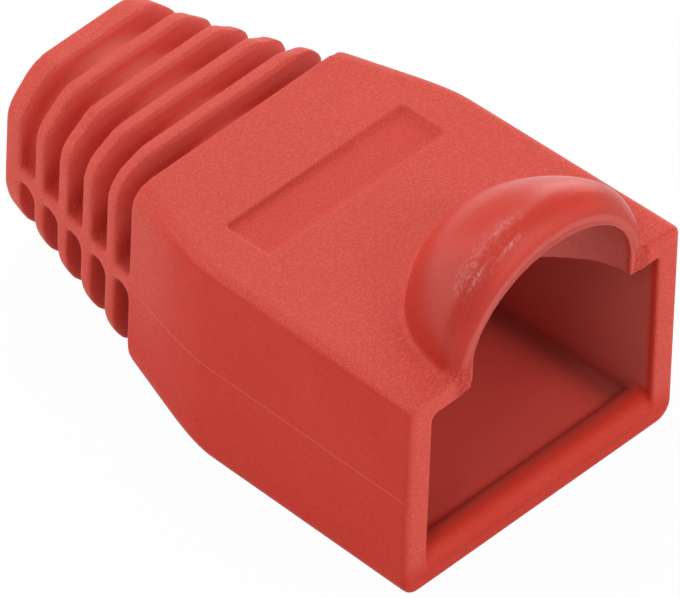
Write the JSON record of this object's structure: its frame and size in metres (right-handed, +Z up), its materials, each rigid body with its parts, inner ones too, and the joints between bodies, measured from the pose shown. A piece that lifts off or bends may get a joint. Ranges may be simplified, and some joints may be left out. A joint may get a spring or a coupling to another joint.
{
  "type": "rj45 strain relief boot",
  "caption": "Soft moulded boot that slides over a modular network plug: square mouth, round latch hood and a ribbed neck that keeps the cable from bending sharply.",
  "frame": {"origin": "on the flat underside, in the middle of the boot's width and halfway along its length", "axes": "+Z up towards the latch hood, -Y out of the mouth, +Y along the cable as it leaves, +X across the boot"},
  "size_m": [0.0142, 0.0232, 0.0142],
  "materials": {
    "boot_plastic": "soft red moulded plastic, fine matt grain on top, smoother on the sides, slight gloss on the hood"
  },
  "bodies": {
    "root": {"boot": "boot_plastic"}
  },
  "joints": []
}
